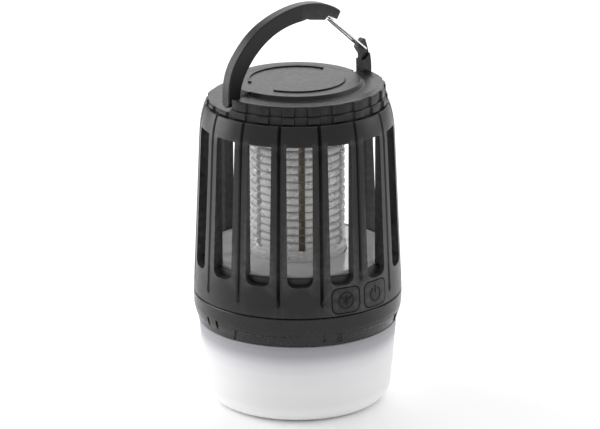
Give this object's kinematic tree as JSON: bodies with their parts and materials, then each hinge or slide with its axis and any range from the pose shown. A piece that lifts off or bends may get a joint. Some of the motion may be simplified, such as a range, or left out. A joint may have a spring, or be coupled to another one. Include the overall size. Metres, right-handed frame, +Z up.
{
  "type": "electric bug zapper",
  "caption": "Portable lantern-style bug zapper: slotted cage round a wound grid and UV strip, push buttons, frosted lamp base and a hooked carrying bail with a wire gate.",
  "frame": {"origin": "centre of the underside, where the lamp base stands", "axes": "+Z up along the body; -Y is the front with the two buttons; +X towards the bail's wire gate"},
  "size_m": [0.0874, 0.0874, 0.1704],
  "materials": {
    "black_plastic": "fine moulded texture, satin",
    "cap_plastic": "fine spark-eroded texture",
    "bail_plastic": "satin moulded",
    "button_plastic": null,
    "diffuser_white": "frosted, lets light through",
    "clear_plastic": "clear moulded",
    "grid_wire": "bare wire",
    "spring_steel": "bright drawn wire",
    "screw_steel": "zinc plated",
    "board_dark": "black solder mask",
    "board_green": "green solder mask",
    "board_white": "white solder mask on aluminium",
    "led_phosphor": "phosphor gel",
    "cell_wrap": "shrink sleeve",
    "ferrite": "ferrite and tape",
    "switch_grey": "moulded",
    "rubber_black": "soft, matt"
  },
  "bodies": {
    "lamp_base": {"lamp_diffuser": "diffuser_white", "base_collar": "black_plastic", "diffuser_seal": "rubber_black"},
    "housing": {"cage_lower_band": "black_plastic", "cage_bars": "black_plastic", "cage_shoulder_ring": "black_plastic", "bayonet_ring": "black_plastic", "chamber_floor": "black_plastic", "insect_tray": "clear_plastic", "grid_former": "clear_plastic", "grid_wire_live": "grid_wire", "grid_wire_return": "grid_wire", "uv_led_board": "board_dark", "uv_leds": "led_phosphor", "uv_board_holder": "black_plastic", "cap_base": "cap_plastic", "top_cap": "cap_plastic", "bail_hinge_pins": "screw_steel", "cap_screws": "screw_steel", "bay_cover": "black_plastic", "bay_screws": "screw_steel", "lamp_led_board": "board_white", "lamp_leds": "led_phosphor", "battery_cell": "cell_wrap", "battery_saddles": "black_plastic", "battery_contacts": "screw_steel", "main_circuit_board": "board_green", "step_up_transformer": "ferrite", "capacitors": "cell_wrap", "switch_board": "board_green", "tact_switches": "switch_grey", "charge_board": "board_green", "charge_socket": "screw_steel"},
    "zapper_button": {"zapper_button": "button_plastic"},
    "lamp_button": {"lamp_button": "button_plastic"},
    "bail": {"bail_arm": "bail_plastic"},
    "bail_stub": {"bail_stub": "bail_plastic"},
    "gate": {"gate_wire": "spring_steel"},
    "port_cover": {"charge_port_cover": "rubber_black"}
  },
  "joints": [
    {"name": "base_twist", "type": "hinge", "parent": "lamp_base", "child": "housing", "pos_m": [0, 0, 0.048], "axis": [0, 0, 1], "range_deg": [0, 20]},
    {"name": "zapper_press", "type": "slide", "parent": "housing", "child": "zapper_button", "axis": [0.1719, 0.9851, 0], "range_m": [0, 0.001], "stiffness_N_per_m": 800, "springref_m": -0.0006},
    {"name": "lamp_press", "type": "slide", "parent": "housing", "child": "lamp_button", "axis": [-0.1805, 0.9836, 0], "range_m": [0, 0.001], "stiffness_N_per_m": 800, "springref_m": -0.0006},
    {"name": "bail_fold", "type": "hinge", "parent": "housing", "child": "bail", "pos_m": [0, 0, 0.1349], "axis": [-1, 0, 0], "range_deg": [0, 90]},
    {"name": "stub_fold", "type": "hinge", "parent": "housing", "child": "bail_stub", "pos_m": [0, 0, 0.1349], "axis": [-1, 0, 0], "range_deg": [0, 90]},
    {"name": "gate_open", "type": "hinge", "parent": "bail_stub", "child": "gate", "pos_m": [0.0349, 0, 0.146], "axis": [0, 1, 0], "range_deg": [-35, 0], "stiffness_Nm_per_rad": 0.02, "springref_deg": 11.46},
    {"name": "cover_open", "type": "hinge", "parent": "housing", "child": "port_cover", "pos_m": [0.0074, 0.042, 0.055], "axis": [0, 0, -1], "range_deg": [0, 95], "stiffness_Nm_per_rad": 0.002, "springref_deg": -5.73}
  ],
  "couplings": [
    {"joint": "stub_fold", "follows": "bail_fold", "ratio": 1}
  ]
}
